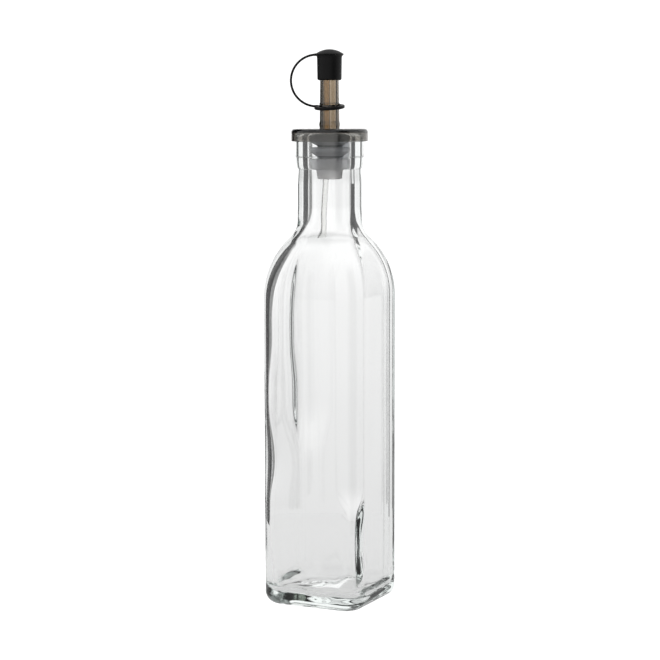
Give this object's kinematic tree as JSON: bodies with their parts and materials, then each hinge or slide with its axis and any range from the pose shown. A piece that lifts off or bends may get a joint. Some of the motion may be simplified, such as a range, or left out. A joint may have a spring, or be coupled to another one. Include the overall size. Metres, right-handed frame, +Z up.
{
  "type": "cruet",
  "caption": "Square clear glass oil cruet with rounded shoulders, a round neck, a finned stopper, a tinted pouring spout and a black tethered cap.",
  "frame": {"origin": "middle of the face that the bottle stands on", "axes": "+Z up along the bottle, X and Y across the flat sides of its body"},
  "size_m": [0.048, 0.048, 0.2432],
  "materials": {
    "glass": "clear, polished, faintly green where thick",
    "frosted_plastic": "frosted, slightly see-through",
    "smoke_plastic": "smoke tinted, clear, glossy",
    "clear_tube": "clear, thin",
    "black_rubber": "satin black"
  },
  "bodies": {
    "root": {"bottle": "glass", "stopper": "frosted_plastic", "pourer": "smoke_plastic", "breather_tube": "clear_tube", "cap": "black_rubber"}
  },
  "joints": []
}
